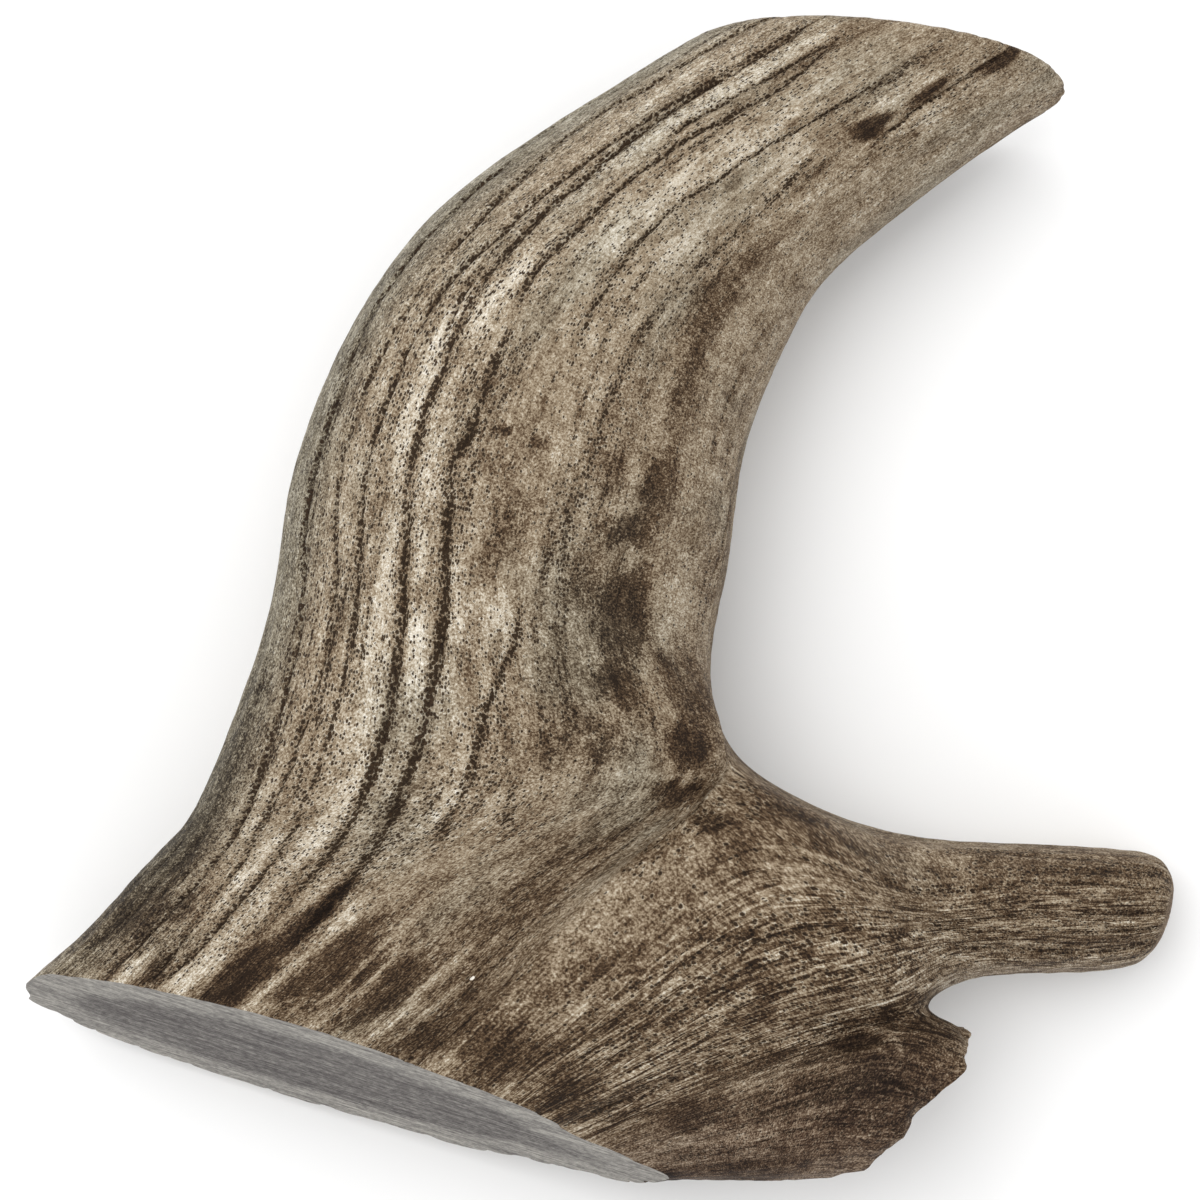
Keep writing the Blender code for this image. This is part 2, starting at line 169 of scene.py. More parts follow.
# Patches of the upper side, as soft ovals in the grain: the middle (across, along), the half sizes, how far
# the oval leans, and how light or dark it is. Two of them, marked below, are painted shade.
PATCHES = (
    # The root.
    (40.5, 24.0, 7.0, 6.0, 0.0, -0.45), (9.0, 27.0, 7.0, 6.0, 0.0, -0.4),
    (2.0, 36.0, 5.0, 24.0, 0.0, -0.75), (42.0, 38.0, 10.0, 16.0, 0.0, -0.35),
    (35.0, 27.0, 6.0, 6.0, 0.0, -0.25), (13.8, 59.5, 2.0, 5.0, 0.0, 0.25),
    (27.0, 29.0, 12.0, 7.0, 0.0, -0.22), (29.5, 21.0, 2.5, 4.0, 0.0, -0.35),
    (23.6, 21.0, 4.0, 8.5, 0.0, -1.5), (25.6, 33.0, 2.0, 6.0, 0.0, -1.2), (11.7, 19.0, 1.8, 4.5, 0.0, -0.9),
    (6.9, 18.5, 0.9, 4.0, 0.0, -0.8), (33.2, 25.0, 3.6, 9.0, 0.0, -0.55),
    (44.0, 24.0, 3.4, 8.0, 0.0, -0.45), (17.0, 24.0, 2.6, 14.0, 0.0, 0.5), (8.8, 20.0, 1.2, 5.0, 0.0, 0.6),
    (28.4, 22.0, 1.0, 8.0, 0.1, 0.75), (29.8, 33.0, 1.2, 4.0, 0.0, 0.7), (37.4, 30.0, 0.5, 8.0, 0.0, 0.7),
    (40.3, 24.0, 0.7, 6.0, 0.0, 0.8), (47.8, 25.0, 0.8, 8.0, 0.0, 0.7), (12.4, 36.0, 1.0, 12.0, 0.0, 0.5),
    (16.4, 48.0, 1.8, 12.0, 0.0, 0.55), (23.0, 38.0, 1.2, 5.0, -0.2, 0.3),
    (27.0, 52.0, 1.8, 10.0, 0.0, 0.35), (8.0, 52.0, 1.0, 10.0, 0.0, 0.25), (8.5, 33.0, 1.8, 6.0, 0.0, -0.5),
    (45.0, 57.0, 3.0, 2.2, -0.6, 0.45),
    # The beam.
    (39.0, 61.0, 5.0, 5.0, 0.0, -0.55), (39.0, 68.0, 4.0, 5.0, 0.0, -0.25),
    (32.0, 60.0, 4.0, 4.0, 0.0, -0.3), (14.7, 87.0, 2.5, 6.0, 0.0, -0.25),
    # (3.0, 95.0) darkens the beam's left flank: painted shade where it turns away from the light.
    (28.5, 81.0, 3.0, 5.0, 0.0, -0.25), (3.0, 95.0, 4.0, 40.0, 0.0, -0.25),
    (44.0, 100.0, 8.0, 34.0, 0.0, -0.15), (4.0, 62.0, 5.0, 10.0, 0.0, -0.3),
    (20.0, 169.0, 5.0, 4.0, 0.0, -0.35), (44.4, 62.0, 4.0, 8.0, 0.0, -0.2),
    (44.0, 178.0, 1.6, 3.5, 0.0, -1.3), (14.6, 132.0, 2.5, 14.0, 0.0, 0.25),
    (31.0, 85.0, 2.5, 7.0, 0.0, -0.3), (14.7, 87.0, 1.5, 5.0, 0.0, -0.25),
    (20.0, 97.0, 2.5, 6.0, 0.0, -0.2), (33.0, 146.0, 6.0, 8.0, 0.0, 0.15),
    (14.0, 101.0, 1.8, 14.0, -0.05, 0.65), (15.8, 84.0, 1.6, 9.0, -0.1, 0.55),
    (19.2, 93.0, 1.8, 11.0, 0.0, 0.5), (21.4, 70.0, 1.4, 6.0, 0.0, 0.8), (16.0, 70.0, 2.2, 11.0, 0.0, 0.45),
    (18.0, 113.0, 2.0, 9.0, 0.0, 0.6), (20.5, 81.0, 1.0, 4.0, 0.0, 0.7), (9.0, 92.0, 1.2, 16.0, 0.0, 0.2),
    (26.0, 78.0, 2.0, 7.0, 0.0, 0.45), (31.0, 77.0, 2.4, 4.0, 0.0, 0.6), (25.0, 66.0, 1.8, 5.0, 0.0, 0.25),
    (11.2, 73.0, 1.0, 2.5, 0.0, -0.55), (27.2, 69.5, 1.2, 2.0, 0.0, -0.5),
    (27.0, 100.0, 4.0, 8.0, 0.0, -0.25), (30.0, 90.0, 4.0, 6.0, 0.0, -0.25),
    (25.5, 131.0, 3.5, 12.0, 0.0, 0.45), (33.5, 116.0, 2.8, 8.0, 0.0, 0.2),
    (27.5, 150.0, 4.0, 18.0, 0.0, 0.35), (35.0, 131.0, 3.0, 8.0, 0.0, 0.45),
    (36.5, 151.0, 3.0, 3.5, 0.0, 0.5), (17.2, 150.0, 2.2, 18.0, 0.0, 0.45),
    (10.0, 146.0, 1.8, 14.0, 0.0, 0.35), (38.0, 166.0, 2.5, 5.0, 0.0, 0.35),
    (46.0, 168.0, 2.0, 4.0, 0.0, 0.45), (45.0, 151.0, 1.6, 4.5, 0.0, 0.3),
    (33.2, 143.5, 1.4, 2.2, 0.0, -0.45), (20.8, 158.0, 1.6, 8.0, 0.0, -0.4),
    (41.0, 160.5, 2.3, 3.0, 0.4, -1.6), (42.0, 168.0, 1.8, 2.8, 0.0, -1.4),
    (45.0, 159.0, 1.4, 0.9, 0.0, -1.2), (47.2, 164.0, 0.9, 1.2, 0.0, -1.0),
    (29.6, 162.0, 0.7, 0.5, 0.0, -1.1), (29.9, 158.8, 0.9, 0.6, 0.0, -1.1),
    (30.9, 153.4, 0.7, 0.8, 0.0, -1.0), (26.2, 150.0, 0.5, 0.9, 0.0, -0.9),
    (26.2, 141.6, 0.5, 0.5, 0.0, -0.8), (18.4, 143.6, 1.0, 1.0, 0.0, -1.0),
    (42.0, 151.5, 1.2, 2.4, 0.0, -0.6), (46.6, 79.0, 3.6, 7.5, 0.0, -1.0),
    (44.6, 90.0, 4.2, 3.0, 0.0, -0.8), (44.4, 69.0, 2.2, 4.0, 0.0, -1.0),
    (52.2, 70.0, 3.0, 6.0, 0.0, -0.75), (47.4, 98.0, 2.8, 6.5, 0.0, -0.75),
    (41.4, 82.0, 2.0, 6.0, 0.0, -0.45), (44.8, 127.0, 3.6, 11.0, 0.0, -0.6),
    (47.2, 113.0, 2.2, 7.0, 0.0, -0.6), (41.2, 97.0, 1.8, 4.5, 0.0, -0.55),
    (45.8, 139.0, 1.8, 5.0, 0.0, -0.6), (53.0, 124.0, 2.0, 20.0, 0.0, -0.2),
    (51.8, 82.0, 1.8, 6.0, 0.0, 0.3), (46.5, 87.5, 2.0, 1.2, 0.0, 0.5), (29.0, 98.0, 3.6, 0.5, -0.35, -1.2),
    # The fork and the tine.
    (60.0, 45.0, 16.0, 30.0, 0.0, -0.5), (66.0, 92.0, 12.0, 26.0, 0.0, -0.55),
    (74.0, 20.0, 7.0, 5.0, 0.0, -0.5), (65.5, 25.0, 4.0, 5.0, 0.0, -0.35),
    (55.5, 45.0, 5.0, 10.0, 0.0, 0.25), (70.5, 45.0, 4.0, 7.0, 0.0, -0.3),
    (62.0, 33.0, 5.0, 6.0, 0.0, -0.25), (74.0, 35.0, 5.0, 6.0, 0.0, -0.3),
    (68.0, 20.0, 4.0, 4.0, 0.0, -0.2), (67.0, 57.0, 4.0, 8.0, 0.0, -0.08),
    (66.0, 17.0, 6.0, 3.5, 0.0, -0.4), (55.0, 50.0, 2.5, 4.0, 0.0, 0.4), (56.4, 36.0, 4.0, 6.0, 0.0, 0.3),
    (73.0, 19.5, 5.0, 3.5, 0.0, -0.28), (69.0, 24.0, 8.0, 6.0, 0.0, -0.12),
    (51.5, 18.5, 4.0, 3.5, 0.0, -0.4), (56.0, 53.0, 2.0, 3.0, 0.0, 0.25), (50.5, 26.8, 3.0, 4.0, 0.0, -0.3),
    (61.0, 22.0, 6.0, 5.0, 0.0, -0.32), (54.0, 23.0, 3.0, 5.0, 0.0, -0.4),
    (60.0, 20.0, 3.0, 4.5, 0.0, -0.45), (50.8, 24.0, 0.7, 5.0, 0.0, 0.6), (64.6, 21.0, 0.5, 6.0, 0.1, 0.6),
    (50.6, 61.5, 2.6, 3.5, 0.0, -0.9), (50.6, 54.4, 3.6, 1.5, -1.0, -0.8),
    (57.5, 51.5, 2.4, 1.2, 0.4, -0.8), (57.5, 56.0, 2.0, 1.2, 0.0, 0.3), (58.0, 60.0, 2.2, 5.0, 0.0, -0.5),
    (63.0, 33.0, 1.4, 6.0, 0.1, 0.25), (61.5, 28.0, 1.4, 4.0, 0.15, 0.5),
    # (58.5, 88.0) darkens the tine's upper edge: painted shade.
    (69.5, 45.0, 1.8, 14.0, 0.0, 0.15), (58.5, 88.0, 2.0, 16.0, 0.0, -0.1),
    (65.0, 92.0, 1.0, 10.0, 0.0, -0.35), (70.6, 90.0, 1.0, 12.0, 0.0, -0.4),
    (67.6, 86.0, 0.9, 12.0, 0.0, 0.25),
    # The stump.
    (88.0, 45.0, 12.0, 40.0, 0.0, -0.61), (88.0, 53.0, 5.0, 7.0, 0.0, 0.1),
    (80.0, 27.0, 6.0, 6.0, 0.0, -0.3), (80.5, 26.0, 4.0, 5.0, 0.0, -0.35),
    (95.0, 12.0, 5.0, 8.0, 0.0, -0.95), (84.0, 58.0, 8.0, 9.0, 0.0, -0.2),
    (76.0, 55.0, 2.4, 8.0, 0.0, -0.6), (78.6, 48.8, 1.7, 3.8, 0.2, -0.8),
    (79.8, 54.3, 0.8, 4.0, 0.85, 0.55), (86.0, 52.0, 10.0, 14.0, 0.0, -0.3),
    (78.0, 62.0, 2.0, 4.0, 0.0, -0.5), (77.0, 38.0, 1.4, 4.0, 0.0, -0.5), (86.4, 24.0, 1.4, 5.0, 0.0, 0.5),
    (88.5, 44.0, 2.5, 12.0, 0.0, 0.3), (89.2, 36.0, 0.8, 10.0, 0.0, 0.4), (82.0, 43.0, 2.0, 5.0, 0.2, 0.3),
    (95.0, 30.0, 3.0, 20.0, 0.0, -0.5),
)

# Where the grain runs lower into the tine, where it hardly shows, and where the bone is worn smoother, in
# the same way.
SAGGING = ((64.0, 64.0, 6.5, 15.0, 0.00, -3.6),)
CALM = ((51.0, 50.0, 7.0, 14.0, 0.00, 0.35),)
WORN = ((30.0, 140.0, 13.0, 34.0, 0.00, 1.00),)

# Noises of the carving: how wide and how long their lumps are, and a shift that sets each one apart.
GROWN_FURROWS = (6.0, 90.0)
FAINT_FURROWS, FAINT_PLACES = (2.4, 50.0, 40.0), (9.0, 30.0, 11.0)
FURROW_WANDER, FURROW_SHAKE, FURROW_BREAKS = (8.0, 5.0, 7.3), (3.0, 1.6, 3.1), (2.0, 5.0, 33.0)
PATCH_WANDER, PATCH_SHAKE, PATCH_DRIFT = (2.5, 6.0, 51.0), (1.1, 2.2, 52.0), (2.0, 4.0, 53.0)
UNDERSIDE_TONE = (9.0, 26.0, 21.0)
LUMPS, PEARLS, WRINKLES = (22.0, 22.0), (1.6, 2.6, 5.0), (1.3, 14.0, 9.0)
STUMP_CRAGS, STUMP_CRUMBLE, STUMP_KNOBBLE = (4.5, 4.5, 2.0), (1.5, 1.5, 8.0), (4.0, 4.0, 14.0)

# How sharp the furrows that grow by themselves are, and how crisp the edges of the ovals are.
GROWN_SHARPNESS = 0.2
FAINT_SHARPNESS = 0.10
SOFT_EDGE, OVAL_EDGE, PATCH_EDGE = 1.0, 1.5, 2.2

# How deep or how high the carving goes.
FURROW_DEPTH = 0.55
BED_HEIGHT = 0.35
LUMP_HEIGHT = 0.8
PEARL_HEIGHT = 0.10
WRINKLE_HEIGHT = 0.12
HOLLOW_DEPTH = 1.2

# How the antler is let down onto the surface.
REST_TURN_X = math.radians(-1.47)
REST_TURN_Y = math.radians(0.91)
REST_SHIFT = (0.59, 0.40, -0.34)
REST = (Matrix.Scale(MM, 4) @ Matrix.Translation(REST_SHIFT)
        @ Matrix.Rotation(REST_TURN_Y, 4, "Y") @ Matrix.Rotation(REST_TURN_X, 4, "X"))


def spread(count, starts_outside, ends_outside, evenness):
    """Places from -1 to 1 for the columns of one limb. They stop half a step short of an outer edge."""
    steps = count + (starts_outside + ends_outside) / 2
    places = []
    for column in range(count + 1):
        turn = math.pi * (column + starts_outside / 2) / steps
        places.append(evenness * (2 * turn / math.pi - 1) - (1 - evenness) * math.cos(turn))
    return places


def row_points(row, columns, evenness=0.0):
    """The upper and the lower point of each column in a row, rounded between its keys."""
    keys, middles = row
    points = []
    for limb, count in enumerate(columns):
        start, end = keys[limb], keys[limb + 1]
        middle = middles[limb] ** 2
        slope = (end[3] ** 2 - start[3] ** 2) / 2
        crown = (end[3] ** 2 + start[3] ** 2) / 2 - middle
        places = spread(count, limb == 0, limb == len(columns) - 1, evenness)
        for place in places[1 if limb else 0:]:
            centre = Vector(start[:3]).lerp(Vector(end[:3]), (1 + place) / 2)
            half_depth = Vector((0, 0, math.sqrt(max(middle + slope * place + crown * place ** 2, 0.0))))
            points.append((centre + half_depth, centre - half_depth))
    return points


def middle_of(points):
    return sum((upper + lower for upper, lower in points), Vector()) / (2 * len(points))


def place_row(cage, points, first, along):
    """Puts the selected end of the cage on a row, whose columns count from the first."""
    form = bmesh.from_edit_mesh(cage.data)
    column, side = form.verts.layers.int["column"], form.verts.layers.int["side"]
    for vert in form.verts:
        if vert.select:
            vert.co = points[vert[column] - first][vert[side]]
            vert[form.verts.layers.float["along"]] = along
    bmesh.update_edit_mesh(cage.data)


def select_end(cage, first, last, along):
    """Selects the faces that close the cage at a row, from one column to another."""
    bpy.ops.mesh.select_all(action="DESELECT")
    form = bmesh.from_edit_mesh(cage.data)
    column, far = form.verts.layers.int["column"], form.verts.layers.float["along"]
    for face in form.faces:
        if all(first <= vert[column] <= last and abs(vert[far] - along) < 0.01 for vert in face.verts):
            face.select_set(True)
    bmesh.update_edit_mesh(cage.data)


def name_limb(cage, limb):
    """Gives the faces that the last extrusion made their limb's number."""
    form = bmesh.from_edit_mesh(cage.data)
    for vert in form.verts:
        if vert.select:
            for face in vert.link_faces:
                face.material_index = limb
    bmesh.update_edit_mesh(cage.data)


def start_cage():
    """A strip of faces across the sawn root, which knows its columns and its sides."""
    bpy.ops.object.select_all(action="DESELECT")
    bpy.ops.mesh.primitive_grid_add(x_subdivisions=sum(COLUMNS), y_subdivisions=1, size=2)
    cage = bpy.context.object
    for name, kind in (("column", "INT"), ("side", "INT"), ("along", "FLOAT")):
        cage.data.attributes.new(name, kind, "POINT")
    for vert in cage.data.vertices:
        cage.data.attributes["column"].data[vert.index].value = round((vert.co.x + 1) / 2 * sum(COLUMNS))
        cage.data.attributes["side"].data[vert.index].value = LOWER if vert.co.y > 0 else UPPER
    return cage


def grow_limb(cage, limb, first, points, along):
    """Extrudes one limb, row by row, from its share of the root's last row."""
    select_end(cage, first, first + COLUMNS[limb], along)
    for row in LIMB_ROWS[limb]:
        before = middle_of(points)
        points = row_points(row, (COLUMNS[limb],))
        along += (middle_of(points) - before).length
        bpy.ops.mesh.extrude_region()
        place_row(cage, points, first, along)
        name_limb(cage, limb)
    return along


def build_cage():
    """The coarse antler, extruded from its root out into each limb, and where along it its limbs end."""
    cage = start_cage()
    bpy.ops.object.mode_set(mode="EDIT")
    points = row_points(ROOT_ROWS[0], COLUMNS, ROOT_EVENNESS[0])
    place_row(cage, points, 0, 0.0)
    along = 0.0
    for row, evenness in zip(ROOT_ROWS[1:], ROOT_EVENNESS[1:]):
        before = middle_of(points)
        points = row_points(row, COLUMNS, evenness)
        along += (middle_of(points) - before).length
        bpy.ops.mesh.extrude_region()
        place_row(cage, points, 0, along)
    firsts = [sum(COLUMNS[:limb]) for limb in range(len(COLUMNS))]
    form = bmesh.from_edit_mesh(cage.data)
    for face in form.faces:
        column = min(vert[form.verts.layers.int["column"]] for vert in face.verts)
        face.material_index = sum(column >= first for first in firsts[1:])
    ends = [0.0]
    for limb, first in enumerate(firsts):
        ends.append(grow_limb(cage, limb, first, points[first:first + COLUMNS[limb] + 1], along))
    bpy.ops.mesh.select_all(action="SELECT")
    bpy.ops.mesh.normals_make_consistent(inside=False)
    bpy.ops.object.mode_set(mode="OBJECT")
    return cage, ends


def coordinates(mesh):
    places = np.empty(3 * len(mesh.vertices))
    mesh.vertices.foreach_get("co", places)
    return places.reshape(-1, 3)


def values(mesh, name):
    numbers = np.empty(len(mesh.attributes[name].data))
    mesh.attributes[name].data.foreach_get("value", numbers)
    return numbers


def move_points(mesh, places):
    mesh.vertices.foreach_set("co", np.asarray(places, dtype=float).ravel())
    mesh.update()


def fit(cage, ends):
    """Moves the cage's points until its smooth surface passes through the rows."""
    targets = coordinates(cage.data)
    along = values(cage.data, "along")
    column = values(cage.data, "column")
    free = along > 0.01
    for limb, end in enumerate(ends[1:]):
        first = sum(COLUMNS[:limb])
        free &= ~((np.abs(along - end) < 0.01) & (column >= first) & (column <= first + COLUMNS[limb]))
    smooth = cage.modifiers.new("fit", "SUBSURF")
    smooth.levels = smooth.render_levels = 1
    places = targets.copy()
    for _ in range(FIT_PASSES):
        graph = bpy.context.evaluated_depsgraph_get()
        reached = coordinates(cage.evaluated_get(graph).data)[:len(targets)]
        places[free] += (targets - reached)[free]
        move_points(cage.data, places)
    cage.modifiers.remove(smooth)


def pick(piece):
    """Selects one piece and nothing else."""
    bpy.ops.object.select_all(action="DESELECT")
    piece.select_set(True)
    bpy.context.view_layer.objects.active = piece


def straighten(cage):
    """A copy of the cage that stands at its places in the grain."""
    pick(cage)
    bpy.ops.object.duplicate()
    straight = bpy.context.object
    section = row_points(GRAIN_ROW, COLUMNS)
    layers = [values(cage.data, name) for name in ("column", "side", "along")]
    places = []
    for column, side, along in zip(*layers):
        point = section[round(column)][round(side)]
        places.append((point.x, along, point.z))
    move_points(straight.data, places)
    return straight


def smooth(piece):
    pick(piece)
    modifier = piece.modifiers.new("smooth", "SUBSURF")
    modifier.levels = modifier.render_levels = SMOOTH_LEVELS
    bpy.ops.object.modifier_apply(modifier=modifier.name)


def ease(low, high, numbers):
    """From 0 to 1 as the numbers go from low to high, without corners."""
    part = np.clip((numbers - low) / (high - low), 0.0, 1.0)
    return part * part * (3 - 2 * part)


def rough(grain, across, along, shift=0.0):
    """Noise in the grain, stretched to these sizes."""
    steps = grain / (across, along, across) + shift
    return np.array([noise.noise(step) for step in steps.tolist()])


def named_furrows(grain):
    """How near each place is to the listed furrows: their dark bottoms, and their pitted edges."""
    across, along = grain.T[:2]
    wander = 0.30 * rough(grain, *FURROW_WANDER) + 0.12 * rough(grain, *FURROW_SHAKE)
    bottom, halo = np.zeros(len(grain)), np.zeros(len(grain))
    for dark, width, path in FURROWS:
        stations, places = zip(*path)
        aside = np.abs(across + wander - np.interp(along, stations, places))
        begun = ease(stations[0] - 2.0, stations[0] + 3.0, along)
        inside = begun * ease(-stations[-1] - 2.0, -stations[-1] + 3.0, -along)
        bottom = np.maximum(bottom, dark * inside * np.exp(-(aside / (BOTTOM_SHARE * width)) ** 2 / 2))
        halo = np.maximum(halo, dark * inside * np.exp(-(aside / HALO) ** 2 / 2))
    return bottom, halo


def grown_furrows(grain):
    """Furrows that wander along the grain by themselves, where a stretched noise changes its sign."""
    return np.exp(-(rough(grain, *GROWN_FURROWS) / GROWN_SHARPNESS) ** 2)


def ovals(grain, table, crisp=OVAL_EDGE):
    """The sum of a table's ovals at each place, whose edges are the steeper the crisper they are."""
    across, along = grain.T[:2]
    total = np.zeros(len(grain))
    for middle, height, half_across, half_along, lean, amount in table:
        far = along - height
        aside = (across - middle - lean * far) / half_across
        total += amount * np.exp(-1.2 * (aside ** 2 + (far / half_along) ** 2) ** crisp)
    return total


def add_numbers(mesh, name, numbers):
    attribute = mesh.attributes.new(name, "FLOAT", "POINT")
    attribute.data.foreach_set("value", np.asarray(numbers, dtype=np.float32))


def by_side(upper, above, below):
    return upper * above + (1 - upper) * below


def mark_furrows(grain, upper):
    """How deep in a furrow each place is, how near one's edges, and how near one that grew by itself."""
    bottom, halo = named_furrows(grain)
    bottom *= np.clip(0.95 + 0.7 * rough(grain, *FURROW_BREAKS), 0.4, 1.1)
    grown = grown_furrows(grain)
    faint = np.exp(-(rough(grain, *FAINT_FURROWS) / FAINT_SHARPNESS) ** 2)
    faint *= ease(-0.3, 0.3, rough(grain, *FAINT_PLACES))
    furrow = by_side(upper, np.maximum(bottom, 0.45 * faint), np.maximum(0.8 * grown ** 6, 0.5 * faint))
    return furrow, by_side(upper, halo, 0.5 * grown), grown


def colour_patches(grain, upper):
    """How light or dark each place is, from patches whose edges wander."""
    wander = np.zeros_like(grain)
    wander[:, 0] = 0.6 * rough(grain, *PATCH_WANDER) + 0.35 * rough(grain, *PATCH_SHAKE)
    wander[:, 1] = 2.5 * rough(grain, *PATCH_DRIFT)
    return by_side(upper, ovals(grain + wander, PATCHES, PATCH_EDGE), 0.8 * rough(grain, *UNDERSIDE_TONE))


def carve(skin, straight):
    """Cuts the furrows and raises the lumps, and keeps the grain for the bark's material."""
    mesh = skin.data
    grain = coordinates(straight.data)
    normals = np.array([normal.vector for normal in mesh.vertex_normals])
    upper = ease(-1.5, 1.5, grain[:, 2])
    grain[:, 0] += upper * ovals(grain, SAGGING, SOFT_EDGE)
    furrow, halo, grown = mark_furrows(grain, upper)
    height = LUMP_HEIGHT * (0.5 + 0.5 * upper) * rough(grain, *LUMPS) - FURROW_DEPTH * ease(0.2, 0.9, furrow)
    height += BED_HEIGHT * (1 - upper * 0.5) * (0.5 - grown) + upper * ovals(grain, SWELLINGS)
    height += PEARL_HEIGHT * rough(grain, *PEARLS) + WRINKLE_HEIGHT * rough(grain, *WRINKLES)
    move_points(mesh, coordinates(mesh) + height[:, None] * normals)
    attribute = mesh.attributes.new("grain", "FLOAT_VECTOR", "POINT")
    attribute.data.foreach_set("vector", grain.astype(np.float32).ravel())
    limbs = ease(56.0, 68.0, grain[:, 0]) * (1 - 0.6 * ease(76.0, 82.0, grain[:, 0]))
    root = 0.35 * ease(-42.0, -22.0, -grain[:, 1])
    add_numbers(mesh, "furrow", furrow)
    add_numbers(mesh, "halo", halo)
    add_numbers(mesh, "streaky", np.maximum(limbs, root) - upper * ovals(grain, CALM))
    add_numbers(mesh, "worn", upper * ovals(grain, WORN))
    add_numbers(mesh, "tone", colour_patches(grain, upper))


def cut_across(skin, limb, point, facing, bare=None):
    """Cuts round one limb in edit mode. A cut that leaves bare bone takes the end off and closes it flat."""
    through = bare is not None
    pick(skin)
    bpy.ops.object.mode_set(mode="EDIT")
    bpy.ops.mesh.select_all(action="DESELECT")
    form = bmesh.from_edit_mesh(skin.data)
    for face in form.faces:
        if face.material_index == limb or limb == ROOT:
            face.select_set(True)
    bmesh.update_edit_mesh(skin.data)
    bpy.ops.mesh.bisect(plane_co=point, plane_no=facing, use_fill=through, clear_outer=through)
    if through:
        bpy.ops.mesh.mark_sharp()
        form = bmesh.from_edit_mesh(skin.data)
        for face in form.faces:
            near = all((vert.co - Vector(point)).dot(facing) > -bare for vert in face.verts)
            if near and face.material_index == limb or face.select:
                face.material_index = limb + SAWN
        bmesh.update_edit_mesh(skin.data)
    bpy.ops.object.mode_set(mode="OBJECT")


def limb_points(mesh, limb):
    """Marks the points of one limb's bark."""
    marks = np.zeros(len(mesh.vertices), dtype=bool)
    for face in mesh.polygons:
        if face.material_index == limb:
            marks[list(face.vertices)] = True
    return marks


def sand_ends(skin):
    """Rounds the limbs over towards their saw cuts, as a belt sander leaves them."""
    mesh = skin.data
    for limb, point, facing, rounding, bare in SAW_CUTS:
        if rounding:
            facing = np.array(Vector(facing).normalized())
            for share in SANDED_RINGS:
                cut_across(skin, limb, point - rounding * (1 - share) * facing, facing)
            places = coordinates(mesh)
            marks = limb_points(mesh, limb)
            far = (places - point) @ facing
            outward = places - places[marks & (np.abs(far) < SANDED_SLICE)].mean(axis=0)
            outward -= (outward @ facing)[:, None] * facing
            outward /= np.maximum(np.linalg.norm(outward, axis=1), 0.001)[:, None]
            turn = np.clip(far / rounding + 1, 0.0, 1.0)
            inset = rounding * (1 - np.sqrt(1 - turn ** 2)) * marks
            move_points(mesh, places - inset[:, None] * outward)


def wear_stump(skin):
    """Makes the end of the stump ragged and knobbly, with a hollow middle."""
    mesh = skin.data
    limb, point, facing, rounding, bare = SAW_CUTS[STUMP_CUT]
    facing = np.array(Vector(facing).normalized())
    places = coordinates(mesh)
    outward = np.array([normal.vector for normal in mesh.vertex_normals])
    outward -= (outward @ facing)[:, None] * facing
    stump = limb_points(mesh, limb) | limb_points(mesh, limb + SAWN)
    near = ease(-3.0, 0.0, (places - point) @ facing) * stump
    crags = 1.3 * rough(places, *STUMP_CRAGS) + 0.25 * rough(places, *STUMP_CRUMBLE) - 0.35
    knobs = 0.9 * rough(places, *STUMP_KNOBBLE) + 0.25
    hollow = HOLLOW_DEPTH * ease(0.5, 5.0, values(mesh, "from_rim"))
    places += (near * (crags - hollow))[:, None] * facing + (near * knobs)[:, None] * outward
    for across, up, size, push in KNOBS:
        way = (Vector((across, up)) - Vector(STUMP_HEART)).normalized()
        gaps = ((places[:, :2] - (across, up)) ** 2).sum(axis=1)
        places[:, :2] += (near * push * np.exp(-gaps / size ** 2))[:, None] * way
    move_points(mesh, places)


def score_sawn_faces(skin):
    """Crosses each sawn face with fine lines, so that it has points to be worn and coloured by."""
    form = bmesh.new()
    form.from_mesh(skin.data)
    for limb, point, facing, rounding, bare in SAW_CUTS:
        facing = Vector(facing).normalized()
        level = facing.cross(Vector((0, 0, 1))).normalized()
        for way in (level, level.cross(facing)):
            faces = [face for face in form.faces if face.material_index == limb + SAWN]
            reach = [vert.co.dot(way) for face in faces for vert in face.verts]
            for step in np.arange(min(reach) + SCORE_STEP / 2, max(reach), SCORE_STEP):
                faces = [face for face in form.faces if face.material_index == limb + SAWN]
                verts = list(dict.fromkeys(vert for face in faces for vert in face.verts))
                edges = list(dict.fromkeys(edge for face in faces for edge in face.edges))
                bmesh.ops.bisect_plane(form, geom=verts + edges + faces, plane_co=way * step, plane_no=way)
    form.to_mesh(skin.data)
    form.free()


def measure_rims(skin):
    """Keeps how far each point of a sawn face lies from the bark."""
    mesh = skin.data
    numbers = np.array([face.material_index for face in mesh.polygons])
    places = coordinates(mesh)
    near = np.zeros(len(places))
    barky = {vert for face in mesh.polygons if numbers[face.index] < SAWN for vert in face.vertices}
    for limb, point, facing, rounding, bare in SAW_CUTS:
        sawn_faces = [face for face in mesh.polygons if numbers[face.index] == limb + SAWN]
        sawn = {vert for face in sawn_faces for vert in face.vertices}
        inner, rim = sorted(sawn - barky), sorted(sawn & barky)
        gaps = places[inner][:, None] - places[rim][None]
        near[inner] = np.sqrt((gaps ** 2).sum(axis=2)).min(axis=1)
    add_numbers(mesh, "from_rim", near)


